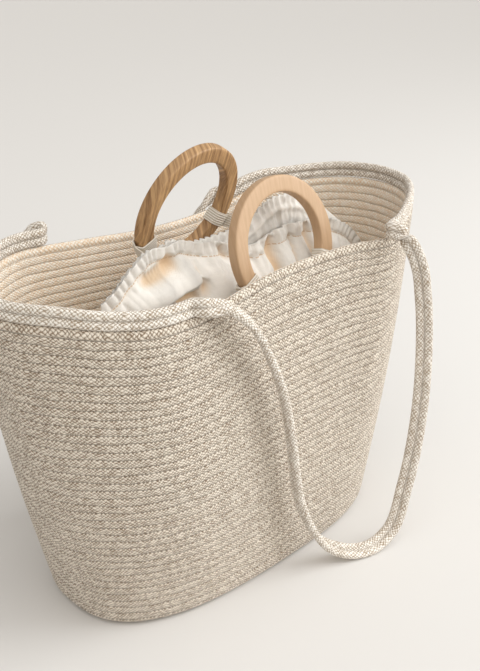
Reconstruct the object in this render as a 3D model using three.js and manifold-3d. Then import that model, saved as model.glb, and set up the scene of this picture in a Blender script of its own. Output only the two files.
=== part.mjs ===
// A braided basket bag with two shoulder straps, a gathered canvas pouch inside it
// and two wooden rings as hand grips. Millimetres, +Z up. The origin is the middle
// of the base, on the floor. +X runs along the long side, -Y is the front.
import * as THREE from "three";
import { mergeVertices } from "three/addons/utils/BufferGeometryUtils.js";
import Module from "manifold-3d";

const wasm = await Module();
wasm.setup();

// Clearance between pieces that touch on the real bag
const SEAT_GAP = 0.3;

// Basket
const BASE_HALF_LENGTH = 187;
const BASE_HALF_WIDTH = 95;
const BASE_SQUARENESS = 2.7;
const BASE_EDGE_HEIGHT = 3;
const MOUTH_HALF_LENGTH = 249;
const MOUTH_HALF_WIDTH = 108;
const RIM_HEIGHT = 345;
const WALL_BULGE_DEPTH = 5;
const WALL_THICKNESS = 6;
const FLOOR_THICKNESS = 6;

// The flat band of two braids that makes the rim's ends and the straps
const BAND_WIDTH = 16.5;
const BAND_THICKNESS = 7;
const BAND_EDGE_WIDTH = 2.2;
const BAND_SEAT_GAP = 0.5;
const STRAP_REACH_WIDTH = 63;

// Wooden rings
const RING_RADIUS = 65;
const RING_HOLE_RADIUS = 49;
const RING_THICKNESS = 12;
const RING_EDGE_RADIUS = 3;

// Cloth tabs
const TAB_WIDTH = 14;
const TAB_THICKNESS = 1.6;
const TAB_TAIL_LENGTH = 45;
// How far a tail keeps to the ring's own direction on its way to the pouch
const TAB_SLANT = 0.25;

// Pouch
const POUCH_CENTRE_X = 31.5;
const POUCH_HALF_LENGTH = 168.5;
const POUCH_HALF_WIDTH = 72;
const POUCH_HEIGHT = 334;
const POUCH_CLOTH_THICKNESS = 2;
const RUFFLE_DEPTH = 2.4;
const FOLD_DEPTH = 5;
// Folds and ruffles fade towards the two ends by this power of the sine
const WAVE_FADE = 1.5;
// The ends slope, so there the cloth is measured longer along the bag
const END_INSET = 1.5;

// How finely the surfaces are divided
const BASKET_COLUMNS = 72;
const WALL_LEVELS = 8;
const STRAP_STEPS_PER_POINT = 2.4;
const RING_COLUMNS = 40;
const POUCH_COLUMNS = 88;
const RUFFLES = 22;
const FOLDS = 9;
const TURN_STEP = 0.5;
const HALVINGS = 24;
const MERGE_DISTANCE = 1e-5;

// The rim's outer line, seen from above, a row every 15 degrees of turn from the +X
// end towards the back. Each row holds shares of the mouth's half length, of its
// half width and of the rim's height. The band stands on the wall up to this line
// round the two ends. Between a strap's two ends the wall is left without the band.
const RIM_ROWS = [
  { along: 1.0, across: 0.0, height: 1.0 },
  { along: 0.968, across: 0.333, height: 0.997 },
  { along: 0.892, across: 0.556, height: 0.993 },
  { along: 0.763, across: 0.741, height: 0.988 },
  { along: 0.59, across: 0.889, height: 0.983 },
  { along: 0.361, across: 0.991, height: 0.939 },
  { along: 0.04, across: 0.991, height: 0.935 },
  { along: -0.301, across: 0.981, height: 0.961 },
  { along: -0.582, across: 0.981, height: 0.979 },
  { along: -0.771, across: 0.778, height: 0.983 },
  { along: -0.904, across: 0.509, height: 0.988 },
  { along: -0.976, across: 0.259, height: 0.991 },
  { along: -0.996, across: -0.019, height: 0.988 },
  { along: -0.956, across: -0.278, height: 0.98 },
  { along: -0.859, across: -0.528, height: 0.971 },
  { along: -0.735, across: -0.731, height: 0.953 },
  { along: -0.574, across: -0.889, height: 0.943 },
  { along: -0.369, across: -0.889, height: 0.943 },
  { along: -0.02, across: -0.806, height: 0.963 },
  { along: 0.337, across: -0.834, height: 0.967 },
  { along: 0.574, across: -0.926, height: 0.962 },
  { along: 0.755, across: -0.778, height: 0.983 },
  { along: 0.888, across: -0.574, height: 0.994 },
  { along: 0.968, across: -0.333, height: 0.999 },
];

// Where each strap leaves the rim, as turns in degrees round the mouth
const STRAP_TURNS = {
  front: { start: 250, end: 300 },
  back: { start: 115, end: 70 },
};

// A strap's way between its two ends on the rim: the share of the way along from one
// end to the other, the drop below them as a share of the wall's height, the share of
// the reach out from the wall, then where the band's width points, as a heading from
// +X to the wall and a rise, in degrees.
const STRAP_ROWS = [
  { between: 0.031, drop: 0.001, out: 0.066, heading: 60, rise: 84 },
  { between: 0.064, drop: 0.008, out: 0.113, heading: 60, rise: 52 },
  { between: 0.105, drop: 0.013, out: 0.167, heading: 60, rise: 14 },
  { between: 0.135, drop: 0.029, out: 0.218, heading: 60, rise: 6 },
  { between: 0.172, drop: 0.056, out: 0.259, heading: 60, rise: 4 },
  { between: 0.204, drop: 0.084, out: 0.289, heading: 60, rise: 3 },
  { between: 0.233, drop: 0.117, out: 0.308, heading: 60, rise: 2 },
  { between: 0.267, drop: 0.165, out: 0.307, heading: 61, rise: 0 },
  { between: 0.353, drop: 0.316, out: 0.290, heading: 64, rise: 0 },
  { between: 0.393, drop: 0.438, out: 0.271, heading: 66, rise: 0 },
  { between: 0.424, drop: 0.575, out: 0.260, heading: 70, rise: 0 },
  { between: 0.455, drop: 0.683, out: 0.261, heading: 75, rise: 4 },
  { between: 0.491, drop: 0.762, out: 0.315, heading: 80, rise: 14 },
  { between: 0.577, drop: 0.868, out: 0.458, heading: 86, rise: 30 },
  { between: 0.664, drop: 0.906, out: 0.685, heading: 92, rise: 36 },
  { between: 0.754, drop: 0.915, out: 0.846, heading: 100, rise: 32 },
  { between: 0.853, drop: 0.892, out: 0.942, heading: 110, rise: 18 },
  { between: 0.935, drop: 0.760, out: 0.935, heading: 120, rise: 5 },
  { between: 0.998, drop: 0.576, out: 0.870, heading: 126, rise: 0 },
  { between: 1.018, drop: 0.355, out: 0.749, heading: 128, rise: 0 },
  { between: 1.014, drop: 0.176, out: 0.607, heading: 126, rise: 0 },
  { between: 1.006, drop: 0.095, out: 0.514, heading: 122, rise: 4 },
  { between: 0.996, drop: 0.051, out: 0.412, heading: 118, rise: 14 },
  { between: 0.984, drop: 0.019, out: 0.301, heading: 114, rise: 34 },
  { between: 0.967, drop: -0.003, out: 0.195, heading: 112, rise: 60 },
  { between: 0.953, drop: -0.008, out: 0.107, heading: 110, rise: 80 },
  { between: 0.963, drop: 0.000, out: 0.022, heading: 110, rise: 88 },
];

// Each ring is held by the pouch: its centre as shares of the pouch's half length,
// half width and height, its turn about the vertical and its lean, in degrees.
const RING_ROWS = {
  front: { along: 0.116, across: -0.546, height: 0.942, turn: 1, lean: 15.6 },
  back: { along: -0.174, across: 0.546, height: 1.031, turn: 7, lean: -19.2 },
};
const TAB_ANGLES = { left: -153, right: -27 };

// The pouch's frilled edge, from its left end to its right: a share of the half
// length, the drop below the highest point as a share of the pouch's height, and
// the shift across as a share of the half width.
const CREST_ROWS = [
  { along: -1.0, drop: 0.102, shift: -0.07 },
  { along: -0.84, drop: 0.05, shift: 0.0 },
  { along: -0.674, drop: 0.018, shift: 0.055 },
  { along: -0.484, drop: 0.009, shift: 0.11 },
  { along: -0.306, drop: 0.021, shift: 0.14 },
  { along: -0.086, drop: 0.042, shift: 0.13 },
  { along: 0.021, drop: 0.055, shift: 0.08 },
  { along: 0.14, drop: 0.035, shift: 0.05 },
  { along: 0.252, drop: 0.018, shift: 0.03 },
  { along: 0.377, drop: 0.0, shift: 0.0 },
  { along: 0.573, drop: 0.009, shift: -0.03 },
  { along: 0.763, drop: 0.036, shift: -0.11 },
  { along: 0.935, drop: 0.12, shift: -0.18 },
  { along: 1.0, drop: 0.186, shift: -0.21 },
];

// The pouch's sections from its base to its frill: height as a share of the pouch's
// height, reach to the left and right as shares of the half length, to the front and
// back as shares of the half width, how round the section is, how much it follows
// the frilled edge, and how deep its folds and its ruffles are.
const POUCH_ROWS = [
  { height: 0.0, left: 0.86, right: 0.7, front: 0.72, back: 0.78,
    round: 2.6, follow: 0.0, fold: 0, ruffle: 0 },
  { height: 0.03, left: 0.92, right: 0.8, front: 0.8, back: 0.86,
    round: 2.5, follow: 0.0, fold: 0.1, ruffle: 0 },
  { height: 0.22, left: 0.97, right: 0.9, front: 0.92, back: 0.98,
    round: 2.3, follow: 0.0, fold: 0.4, ruffle: 0 },
  { height: 0.45, left: 1.0, right: 0.95, front: 0.98, back: 1.0,
    round: 2.2, follow: 0.05, fold: 0.7, ruffle: 0 },
  { height: 0.6, left: 1.02, right: 0.98, front: 0.86, back: 0.94,
    round: 2.1, follow: 0.15, fold: 0.8, ruffle: 0 },
  { height: 0.72, left: 1.02, right: 1.0, front: 0.56, back: 0.8,
    round: 2.0, follow: 0.35, fold: 0.6, ruffle: 0 },
  { height: 0.83, left: 1.02, right: 1.0, front: 0.58, back: 0.55,
    round: 2.0, follow: 0.7, fold: 0.5, ruffle: 0 },
  { height: 0.91, left: 1.01, right: 1.0, front: 0.33, back: 0.32,
    round: 2.0, follow: 0.9, fold: 0.5, ruffle: 0.3 },
  { height: 0.955, left: 1.0, right: 1.0, front: 0.15, back: 0.15,
    round: 2.0, follow: 1.0, fold: 0, ruffle: 0.6 },
  { height: 1.0, left: 1.0, right: 1.0, front: 0.17, back: 0.17,
    round: 2.0, follow: 1.0, fold: 0, ruffle: 1.0 },
];

const COLOURS = {
  braid: { color: 0xe9e1d3, roughness: 0.9 },
  canvas: { color: 0xf3ecde, roughness: 0.85 },
  beech: { color: 0xd9ae7c, roughness: 0.55 },
  webbing: { color: 0xe6ddcc, roughness: 0.85 },
};

const radians = THREE.MathUtils.degToRad;
const UP = new THREE.Vector3(0, 0, 1);

// A number read from a table's column by a smooth curve through its rows
function smooth(before, start, end, after, share) {
  const bend = (end - before) / 2;
  const nextBend = (after - start) / 2;
  const rise = end - start;
  const square = share * share;
  return start + bend * share + (3 * rise - 2 * bend - nextBend) * square
    + (bend + nextBend - 2 * rise) * square * share;
}

// A closed table is read by the turn, in degrees, with its rows evenly spaced
function readRound(rows, column, turn) {
  const count = rows.length;
  const place = ((((turn / 360) * count) % count) + count) % count;
  const row = Math.floor(place);
  const value = (step) => rows[(row + step + count) % count][column];
  return smooth(value(-1), value(0), value(1), value(2), place - row);
}

// An open table is read along its first column
function readAlong(rows, column, along) {
  const last = rows.length - 1;
  let row = 0;
  while (row < last - 1 && along > rows[row + 1].along) row += 1;
  const span = rows[row + 1].along - rows[row].along;
  const share = THREE.MathUtils.clamp((along - rows[row].along) / span, 0, 1);
  return THREE.MathUtils.lerp(rows[row][column], rows[row + 1][column], share * share * (3 - 2 * share));
}

// A power of a sine or cosine that keeps its sign, which squares an oval's corners
function power(value, exponent) {
  return Math.sign(value) * Math.abs(value) ** exponent;
}

// One closed body from rings of points: each ring is joined to the next, and the
// last to the first where the body is itself a ring. Open ends get a fan of faces.
function bodyFromRings(rings, closed = false) {
  const columns = rings[0].length;
  const points = rings.flat();
  const faces = [];
  const steps = closed ? rings.length : rings.length - 1;
  for (let ring = 0; ring < steps; ring += 1) {
    const here = ring * columns;
    const there = ((ring + 1) % rings.length) * columns;
    for (let column = 0; column < columns; column += 1) {
      const next = (column + 1) % columns;
      faces.push(here + column, here + next, there + next);
      faces.push(here + column, there + next, there + column);
    }
  }
  if (!closed) {
    for (const [ring, flip] of [[0, true], [rings.length - 1, false]]) {
      const middle = new THREE.Vector3();
      rings[ring].forEach((point) => middle.addScaledVector(point, 1 / columns));
      const centre = points.push(middle) - 1;
      for (let column = 0; column < columns; column += 1) {
        const from = ring * columns + column;
        const to = ring * columns + ((column + 1) % columns);
        faces.push(centre, flip ? to : from, flip ? from : to);
      }
    }
  }
  return facingOut(points, faces);
}

// A body whose faces point inwards has a negative volume and is turned round
function facingOut(points, faces) {
  let volume = 0;
  for (let face = 0; face < faces.length; face += 3) {
    const [first, second, third] = [0, 1, 2].map((corner) => points[faces[face + corner]]);
    volume += first.dot(new THREE.Vector3().crossVectors(second, third));
  }
  const geometry = new THREE.BufferGeometry().setFromPoints(points);
  geometry.setIndex(volume < 0 ? faces.slice().reverse() : faces);
  return geometry;
}

function solidOf(geometry) {
  const merged = mergeVertices(geometry, MERGE_DISTANCE);
  return new wasm.Manifold(new wasm.Mesh({
    numProp: 3,
    vertProperties: merged.attributes.position.array,
    triVerts: Uint32Array.from(merged.index.array),
  }));
}

function geometryOf(solid) {
  const mesh = solid.getMesh();
  const geometry = new THREE.BufferGeometry();
  geometry.setAttribute("position", new THREE.BufferAttribute(mesh.vertProperties, 3));
  geometry.setIndex(new THREE.BufferAttribute(mesh.triVerts, 1));
  return geometry;
}

// A point on the rim's outer line
function rimPoint(turn) {
  return new THREE.Vector3(
    MOUTH_HALF_LENGTH * readRound(RIM_ROWS, "along", turn),
    MOUTH_HALF_WIDTH * readRound(RIM_ROWS, "across", turn),
    RIM_HEIGHT * readRound(RIM_ROWS, "height", turn),
  );
}

// A point on the wall's outer face: the turn goes round it, and level runs from 0 at
// the base to 1 at the top edge. The wall is straight from base to mouth, plus a bulge.
function wallPoint(turn, level) {
  const cosine = Math.cos(radians(turn));
  const sine = Math.sin(radians(turn));
  const base = new THREE.Vector3(
    BASE_HALF_LENGTH * power(cosine, 2 / BASE_SQUARENESS),
    BASE_HALF_WIDTH * power(sine, 2 / BASE_SQUARENESS),
    0,
  );
  const mouth = rimPoint(turn);
  mouth.z -= BAND_WIDTH + BAND_SEAT_GAP;
  const bulge = WALL_BULGE_DEPTH * Math.sin(Math.PI * level);
  return base.lerp(mouth, level).addScaledVector(new THREE.Vector3(cosine, sine, 0), bulge);
}

// The same point moved inwards, level, by a distance
function insetWallPoint(turn, level, inset) {
  const along = wallPoint(turn + TURN_STEP, level).sub(wallPoint(turn - TURN_STEP, level));
  along.setZ(0).normalize();
  const outward = new THREE.Vector3(along.y, -along.x, 0);
  return wallPoint(turn, level).addScaledVector(outward, -inset);
}

// The wall's outer face at a place along the bag and a height, on one long side
function wallAcross(along, height, side) {
  let low = 0;
  let high = 180;
  let point = new THREE.Vector3();
  for (let step = 0; step < HALVINGS; step += 1) {
    const turn = (low + high) / 2;
    const top = wallPoint(side * turn, 1).z;
    point = wallPoint(side * turn, THREE.MathUtils.clamp(height / top, 0, 1));
    if (point.x > along) low = turn;
    else high = turn;
  }
  return point.y;
}

function roundOf(columns, pointAt) {
  return Array.from({ length: columns }, (_, column) => pointAt((column * 360) / columns));
}

function basketGeometry() {
  const rings = [roundOf(BASKET_COLUMNS, (turn) => insetWallPoint(turn, 0, BASE_EDGE_HEIGHT))];
  const firstLevel = BASE_EDGE_HEIGHT / RIM_HEIGHT;
  const floorLevel = FLOOR_THICKNESS / RIM_HEIGHT;
  for (let step = 0; step <= WALL_LEVELS; step += 1) {
    const level = THREE.MathUtils.lerp(firstLevel, 1, step / WALL_LEVELS);
    rings.push(roundOf(BASKET_COLUMNS, (turn) => wallPoint(turn, level)));
  }
  for (let step = WALL_LEVELS; step >= 0; step -= 1) {
    const level = THREE.MathUtils.lerp(floorLevel, 1, step / WALL_LEVELS);
    rings.push(roundOf(BASKET_COLUMNS, (turn) => {
      const point = insetWallPoint(turn, level, WALL_THICKNESS);
      return step === 0 ? point.setZ(FLOOR_THICKNESS) : point;
    }));
  }
  return bodyFromRings(rings);
}

// The band's section: a flat shape with its corners taken off
const BAND_SECTION = [
  [1, -1, 0, 1], [1, 1, 0, -1], [1, 1, -1, 0], [-1, 1, 1, 0],
  [-1, 1, 0, -1], [-1, -1, 0, 1], [-1, -1, 1, 0], [1, -1, -1, 0],
].map(([width, thickness, widthCut, thicknessCut]) => ({
  width: (width * BAND_WIDTH) / 2 + widthCut * BAND_EDGE_WIDTH,
  thickness: (thickness * BAND_THICKNESS) / 2 + thicknessCut * BAND_EDGE_WIDTH,
}));

// One section of the band, square to its way, with its width near a wanted direction
function bandRing(centre, tangent, widthHint) {
  const width = widthHint.clone().addScaledVector(tangent, -widthHint.dot(tangent)).normalize();
  const thickness = new THREE.Vector3().crossVectors(tangent, width);
  return BAND_SECTION.map((corner) => centre.clone()
    .addScaledVector(width, corner.width)
    .addScaledVector(thickness, corner.thickness));
}

// The middle of the band where it stands on the wall's top edge
function bandCentre(turn) {
  const centre = insetWallPoint(turn, 1, WALL_THICKNESS / 2);
  return centre.setZ(rimPoint(turn).z - BAND_WIDTH / 2);
}

// Its way there, kept level so that its sections stand upright on a sloping edge
function bandTangent(turn) {
  return bandCentre(turn + TURN_STEP).sub(bandCentre(turn - TURN_STEP)).setZ(0).normalize();
}

// The band round one end follows the wall's own columns, so that it seats evenly
function rimBandGeometry(startTurn, endTurn) {
  const rings = [];
  const columnTurn = 360 / BASKET_COLUMNS;
  const steps = Math.round((endTurn - startTurn) / columnTurn);
  for (let place = 0; place <= steps; place += 1) {
    const turn = THREE.MathUtils.lerp(startTurn, endTurn, place / steps);
    rings.push(bandRing(bandCentre(turn), bandTangent(turn), UP));
  }
  return bodyFromRings(rings);
}

// A strap leaves the band's end along the rim, hangs as a loop and comes back
function strapGeometry(side, turns) {
  const startTangent = bandTangent(turns.start).multiplyScalar(-side);
  const stopTangent = bandTangent(turns.end).multiplyScalar(-side);
  const start = bandCentre(turns.start).addScaledVector(startTangent, SEAT_GAP);
  const stop = bandCentre(turns.end).addScaledVector(stopTangent, -SEAT_GAP);
  const centres = [start];
  const widths = [UP.clone()];
  for (const row of STRAP_ROWS) {
    const along = THREE.MathUtils.lerp(start.x, stop.x, row.between);
    const level = THREE.MathUtils.lerp(start.z, stop.z, THREE.MathUtils.clamp(row.between, 0, 1));
    const height = level - row.drop * RIM_HEIGHT;
    const across = wallAcross(along, height, side) + side * row.out * STRAP_REACH_WIDTH;
    centres.push(new THREE.Vector3(along, across, height));
    const heading = radians(row.heading);
    const rise = radians(row.rise);
    widths.push(new THREE.Vector3(
      Math.cos(rise) * Math.cos(heading),
      -side * Math.cos(rise) * Math.sin(heading),
      Math.sin(rise),
    ));
  }
  centres.push(stop);
  widths.push(UP.clone());
  const route = new THREE.CatmullRomCurve3(centres, false, "centripetal");
  const widthRoute = new THREE.CatmullRomCurve3(widths, false, "catmullrom");
  const steps = Math.round((centres.length - 1) * STRAP_STEPS_PER_POINT);
  const rings = [];
  for (let place = 0; place <= steps; place += 1) {
    const share = place / steps;
    let tangent = route.getTangent(share);
    if (place === 0) tangent = startTangent;
    if (place === steps) tangent = stopTangent;
    rings.push(bandRing(route.getPoint(share), tangent, widthRoute.getPoint(share)));
  }
  return bodyFromRings(rings);
}

// A ring's own frame: a point from its angle, its radius and its height off the
// middle plane
function ringFrame(row) {
  const turn = radians(row.turn);
  const lean = radians(row.lean);
  const centre = new THREE.Vector3(
    POUCH_CENTRE_X + row.along * POUCH_HALF_LENGTH,
    row.across * POUCH_HALF_WIDTH,
    row.height * POUCH_HEIGHT,
  );
  const level = new THREE.Vector3(Math.cos(turn), Math.sin(turn), 0);
  const front = new THREE.Vector3(Math.sin(turn), -Math.cos(turn), 0);
  const upright = UP.clone().multiplyScalar(Math.cos(lean)).addScaledVector(front, -Math.sin(lean));
  const facing = new THREE.Vector3().crossVectors(level, upright);
  return (angle, radius, height) => centre.clone()
    .addScaledVector(level, radius * Math.cos(radians(angle)))
    .addScaledVector(upright, radius * Math.sin(radians(angle)))
    .addScaledVector(facing, height);
}

// The ring's section with softened edges, grown by a distance for what wraps it
function ringSection(grown) {
  const middle = (RING_RADIUS + RING_HOLE_RADIUS) / 2;
  const halfFace = (RING_RADIUS - RING_HOLE_RADIUS) / 2 + grown;
  const halfThickness = RING_THICKNESS / 2 + grown;
  const softened = RING_EDGE_RADIUS * (1 - Math.SQRT1_2);
  const points = [];
  for (const [face, thickness] of [[1, -1], [1, 1], [-1, 1], [-1, -1]]) {
    const corner = [
      [middle + face * halfFace, thickness * (halfThickness - RING_EDGE_RADIUS)],
      [middle + face * (halfFace - softened), thickness * (halfThickness - softened)],
      [middle + face * (halfFace - RING_EDGE_RADIUS), thickness * halfThickness],
    ];
    points.push(...(face * thickness > 0 ? corner : corner.reverse()));
  }
  return points.map(([radius, height]) => ({ radius, height }));
}

function ringGeometry(place) {
  const section = ringSection(0);
  const rings = [];
  for (let column = 0; column < RING_COLUMNS; column += 1) {
    const angle = (column * 360) / RING_COLUMNS;
    rings.push(section.map((point) => place(angle, point.radius, point.height)));
  }
  return bodyFromRings(rings, true);
}

function crestAt(along) {
  const share = (along - POUCH_CENTRE_X) / POUCH_HALF_LENGTH;
  return {
    drop: readAlong(CREST_ROWS, "drop", share) * POUCH_HEIGHT,
    shift: readAlong(CREST_ROWS, "shift", share) * POUCH_HALF_WIDTH,
  };
}

// A point on the pouch: a section row, a turn round it, and how far inside the
// outer face it lies. Folds and ruffles are waves round the section.
function pouchPoint(row, turn, inset) {
  const cosine = Math.cos(radians(turn));
  const sine = Math.sin(radians(turn));
  const reachX = (cosine < 0 ? row.left : row.right) * POUCH_HALF_LENGTH - END_INSET * inset;
  const reachY = (sine < 0 ? row.front : row.back) * POUCH_HALF_WIDTH;
  const along = POUCH_CENTRE_X + reachX * power(cosine, 2 / row.round);
  const crest = crestAt(along);
  const fade = Math.abs(sine) ** WAVE_FADE;
  const wave = row.fold * FOLD_DEPTH * Math.cos(radians(FOLDS * turn))
    + row.ruffle * RUFFLE_DEPTH * Math.cos(radians(RUFFLES * turn));
  const across = Math.sign(sine) * ((reachY - inset) * Math.abs(sine) ** (2 / row.round) + wave * fade);
  const floor = FLOOR_THICKNESS + SEAT_GAP;
  return new THREE.Vector3(
    along,
    across + row.follow * crest.shift,
    floor + row.height * (POUCH_HEIGHT - floor) - row.follow * crest.drop,
  );
}

// The cloth's outer face up to the frill, then its inner face down again
function pouchGeometry() {
  const rings = POUCH_ROWS.map((row) => roundOf(POUCH_COLUMNS, (turn) => pouchPoint(row, turn, 0)));
  for (const row of [...POUCH_ROWS].reverse()) {
    rings.push(roundOf(POUCH_COLUMNS, (turn) => {
      const point = pouchPoint(row, turn, POUCH_CLOTH_THICKNESS);
      return row === POUCH_ROWS[0] ? point.setZ(point.z + POUCH_CLOTH_THICKNESS) : point;
    }));
  }
  return bodyFromRings(rings);
}

// The pouch without its hollow, grown by the clearance, to seat the tabs on
function pouchSeat() {
  const rings = POUCH_ROWS.map((row) => roundOf(POUCH_COLUMNS, (turn) => pouchPoint(row, turn, -SEAT_GAP)));
  return solidOf(bodyFromRings(rings));
}

// A tab: a sleeve of webbing round the ring, and a tail that runs on to the pouch and
// ends on its cloth. What would come out again past the cloth is left off.
function tabGeometry(place, angle, seat) {
  const middle = (RING_RADIUS + RING_HOLE_RADIUS) / 2;
  const halfTurn = THREE.MathUtils.radToDeg(TAB_WIDTH / 2 / middle);
  const outer = ringSection(SEAT_GAP + TAB_THICKNESS);
  const inner = ringSection(SEAT_GAP);
  const tapeLine = (point, steps) => steps.map((step) => place(angle + step, point.radius, point.height));
  const sleeve = outer.map((point, index) => [
    ...tapeLine(point, [-halfTurn, 0, halfTurn]),
    ...tapeLine(inner[index], [halfTurn, 0, -halfTurn]),
  ]);
  const start = RING_RADIUS + SEAT_GAP + TAB_THICKNESS / 2;
  const root = place(angle, start, 0);
  const side = place(angle + halfTurn, start, 0).sub(place(angle - halfTurn, start, 0)).normalize();
  const outward = place(angle, start + 1, 0).sub(root);
  const towardPouch = new THREE.Vector3(0, -Math.sign(root.y), 0);
  const along = outward.clone().multiplyScalar(TAB_SLANT).add(towardPouch).normalize();
  const across = new THREE.Vector3().crossVectors(side, along).normalize();
  const tail = [0, 1].map((end) => [[1, 1], [1, -1], [-1, -1], [-1, 1]].map(([width, thick]) => root.clone()
    .addScaledVector(along, end * TAB_TAIL_LENGTH)
    .addScaledVector(side, (width * TAB_WIDTH) / 2)
    .addScaledVector(across, (thick * TAB_THICKNESS) / 2)));
  const cut = solidOf(bodyFromRings(tail)).subtract(seat);
  const pieces = solidOf(bodyFromRings(sleeve, true)).add(cut).decompose();
  return geometryOf(pieces.sort((one, other) => other.volume() - one.volume())[0]);
}

function mesh(name, geometry, colour) {
  const material = new THREE.MeshStandardMaterial({ metalness: 0, ...COLOURS[colour] });
  const piece = new THREE.Mesh(geometry, material);
  piece.name = name;
  return piece;
}

const group = new THREE.Group();
group.add(mesh("basket", basketGeometry(), "braid"));
const rightEnd = rimBandGeometry(STRAP_TURNS.front.end - 360, STRAP_TURNS.back.end);
const leftEnd = rimBandGeometry(STRAP_TURNS.back.start, STRAP_TURNS.front.start);
group.add(mesh("rim_band_right", rightEnd, "braid"));
group.add(mesh("rim_band_left", leftEnd, "braid"));
group.add(mesh("strap_front", strapGeometry(-1, STRAP_TURNS.front), "braid"));
group.add(mesh("strap_back", strapGeometry(1, STRAP_TURNS.back), "braid"));
group.add(mesh("pouch", pouchGeometry(), "canvas"));
const seat = pouchSeat();
for (const [name, row] of Object.entries(RING_ROWS)) {
  const place = ringFrame(row);
  group.add(mesh(`ring_${name}`, ringGeometry(place), "beech"));
  for (const [hand, angle] of Object.entries(TAB_ANGLES)) {
    group.add(mesh(`tab_${name}_${hand}`, tabGeometry(place, angle, seat), "webbing"));
  }
}

export default group;
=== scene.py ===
# %% [markdown]
# # A braided basket bag with a gathered pouch and wooden ring handles
# The bag is an oval basket sewn from one long cotton braid. Its two top rows leave the
# rim as shoulder straps. A canvas pouch stands inside, and two wooden rings are held to
# it by cloth tabs. The model is loaded first as a fixed frame. Each solid in it
# is then replaced by a surface with the real look, in the same place.

import bpy
import numpy as np
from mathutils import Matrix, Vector


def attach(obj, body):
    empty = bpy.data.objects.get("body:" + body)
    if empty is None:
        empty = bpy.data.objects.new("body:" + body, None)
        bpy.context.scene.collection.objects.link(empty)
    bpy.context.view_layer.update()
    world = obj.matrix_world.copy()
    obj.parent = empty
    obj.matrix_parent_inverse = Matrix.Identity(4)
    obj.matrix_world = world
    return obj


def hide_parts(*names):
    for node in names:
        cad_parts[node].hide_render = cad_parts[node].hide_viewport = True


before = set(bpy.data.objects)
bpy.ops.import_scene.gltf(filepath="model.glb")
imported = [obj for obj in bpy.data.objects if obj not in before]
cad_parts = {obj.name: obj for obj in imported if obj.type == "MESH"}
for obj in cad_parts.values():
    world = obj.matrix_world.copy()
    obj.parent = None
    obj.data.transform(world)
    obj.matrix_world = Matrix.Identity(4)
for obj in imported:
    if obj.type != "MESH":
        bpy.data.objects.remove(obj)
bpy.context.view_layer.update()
print("nodes:", sorted(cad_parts))

# %% [markdown]
# Most shapes here are smooth curves through a few measured rows, so one helper reads
# such a table. It uses cubic pieces, because they pass through every row exactly and
# have no kinks between them.

# %% A smooth curve through rows


def spline(knots, values, at):
    """Reads values, given at the knots, anywhere between them.

    Each piece is a cubic from one knot to the next, and the slope at a knot is the
    mean slope of the chords on its two sides.
    """
    knots = np.asarray(knots, float)
    values = np.asarray(values, float)
    slopes = np.gradient(values, knots, axis=0)
    place = np.clip(np.searchsorted(knots, at, side="right") - 1, 0, len(knots) - 2)
    width = knots[place + 1] - knots[place]
    share = np.clip((at - knots[place]) / width, 0, 1)
    if values.ndim > 1:
        share = share[..., None]
        width = width[..., None]
    rest = 1 - share
    return (
        values[place] * (1 + 2 * share) * rest**2
        + slopes[place] * width * share * rest**2
        + values[place + 1] * share**2 * (1 + 2 * rest)
        - slopes[place + 1] * width * share**2 * rest
    )


def smoothstep(value):
    """Rises from 0 to 1 with level ends, as its input goes from 0 to 1."""
    share = np.clip(value, 0, 1)
    return share * share * (3 - 2 * share)


def signed_power(value, exponent):
    """A power of a sine or cosine that keeps its sign, which squares an oval."""
    return np.sign(value) * np.abs(value) ** exponent


def unit(vectors):
    """The same directions with a length of one."""
    return vectors / np.linalg.norm(vectors, axis=-1, keepdims=True)


# %% [markdown]
# Every surface is a grid of points that a formula gives in one go. A grid can close on
# itself both ways. Its UV map is in real millimetres or in rows of braid, so that a
# pattern in a material has its true scale.

# %% Turn a grid of points into a mesh


def grid_piece(name, points, uv, material, wrap=(False, False), **attributes):
    """An object from points (rows by columns by 3, in millimetres).

    wrap says if the last row joins the first, and the last column the first. uv has
    one more row or column than points where the grid wraps.
    """
    rows, columns = points.shape[:2]
    row = np.arange(rows + wrap[0])[:, None]
    column = np.arange(columns + wrap[1])[None, :]
    vertex = (row % rows) * columns + column % columns
    corner = row * column.size + column

    def faces(index):
        corners = (index[:-1, :-1], index[:-1, 1:], index[1:, 1:], index[1:, :-1])
        return np.stack(corners, axis=-1).reshape(-1, 4)

    mesh = bpy.data.meshes.new(name)
    mesh.from_pydata((points.reshape(-1, 3) / 1000).tolist(), [], faces(vertex).tolist())
    layer = mesh.uv_layers.new(name="UVMap")
    layer.data.foreach_set("uv", uv.reshape(-1, 2)[faces(corner)].ravel())
    for label, values in attributes.items():
        made = mesh.attributes.new(label, "FLOAT", "POINT")
        made.data.foreach_set("value", np.broadcast_to(values, points.shape[:2]).ravel())
    mesh.polygons.foreach_set("use_smooth", np.ones(len(mesh.polygons), bool))
    mesh.update()
    piece = bpy.data.objects.new(name, mesh)
    bpy.context.scene.collection.objects.link(piece)
    mesh.materials.append(material)
    print(name, "has", 2 * len(mesh.polygons), "triangles")
    return piece


def uv_grid(along, across):
    """A UV map from one value for each column and one for each row, or full grids."""
    return np.stack(np.broadcast_arrays(along, across), axis=-1).astype(np.float32)


# %% [markdown]
# Materials are node trees. A few short helpers keep them readable: one adds a node and
# fills its sockets, and the others are the kinds of node that every material needs.

# %% Helpers for material nodes


def add(tree, kind, inputs=None, **settings):
    """Adds a node. Each input is another node's output, or a plain value."""
    made = tree.nodes.new(kind)
    for name, value in settings.items():
        setattr(made, name, value)
    for name, value in (inputs or {}).items():
        if isinstance(value, bpy.types.NodeSocket):
            tree.links.new(value, made.inputs[name])
        else:
            made.inputs[name].default_value = value
    return made


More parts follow.
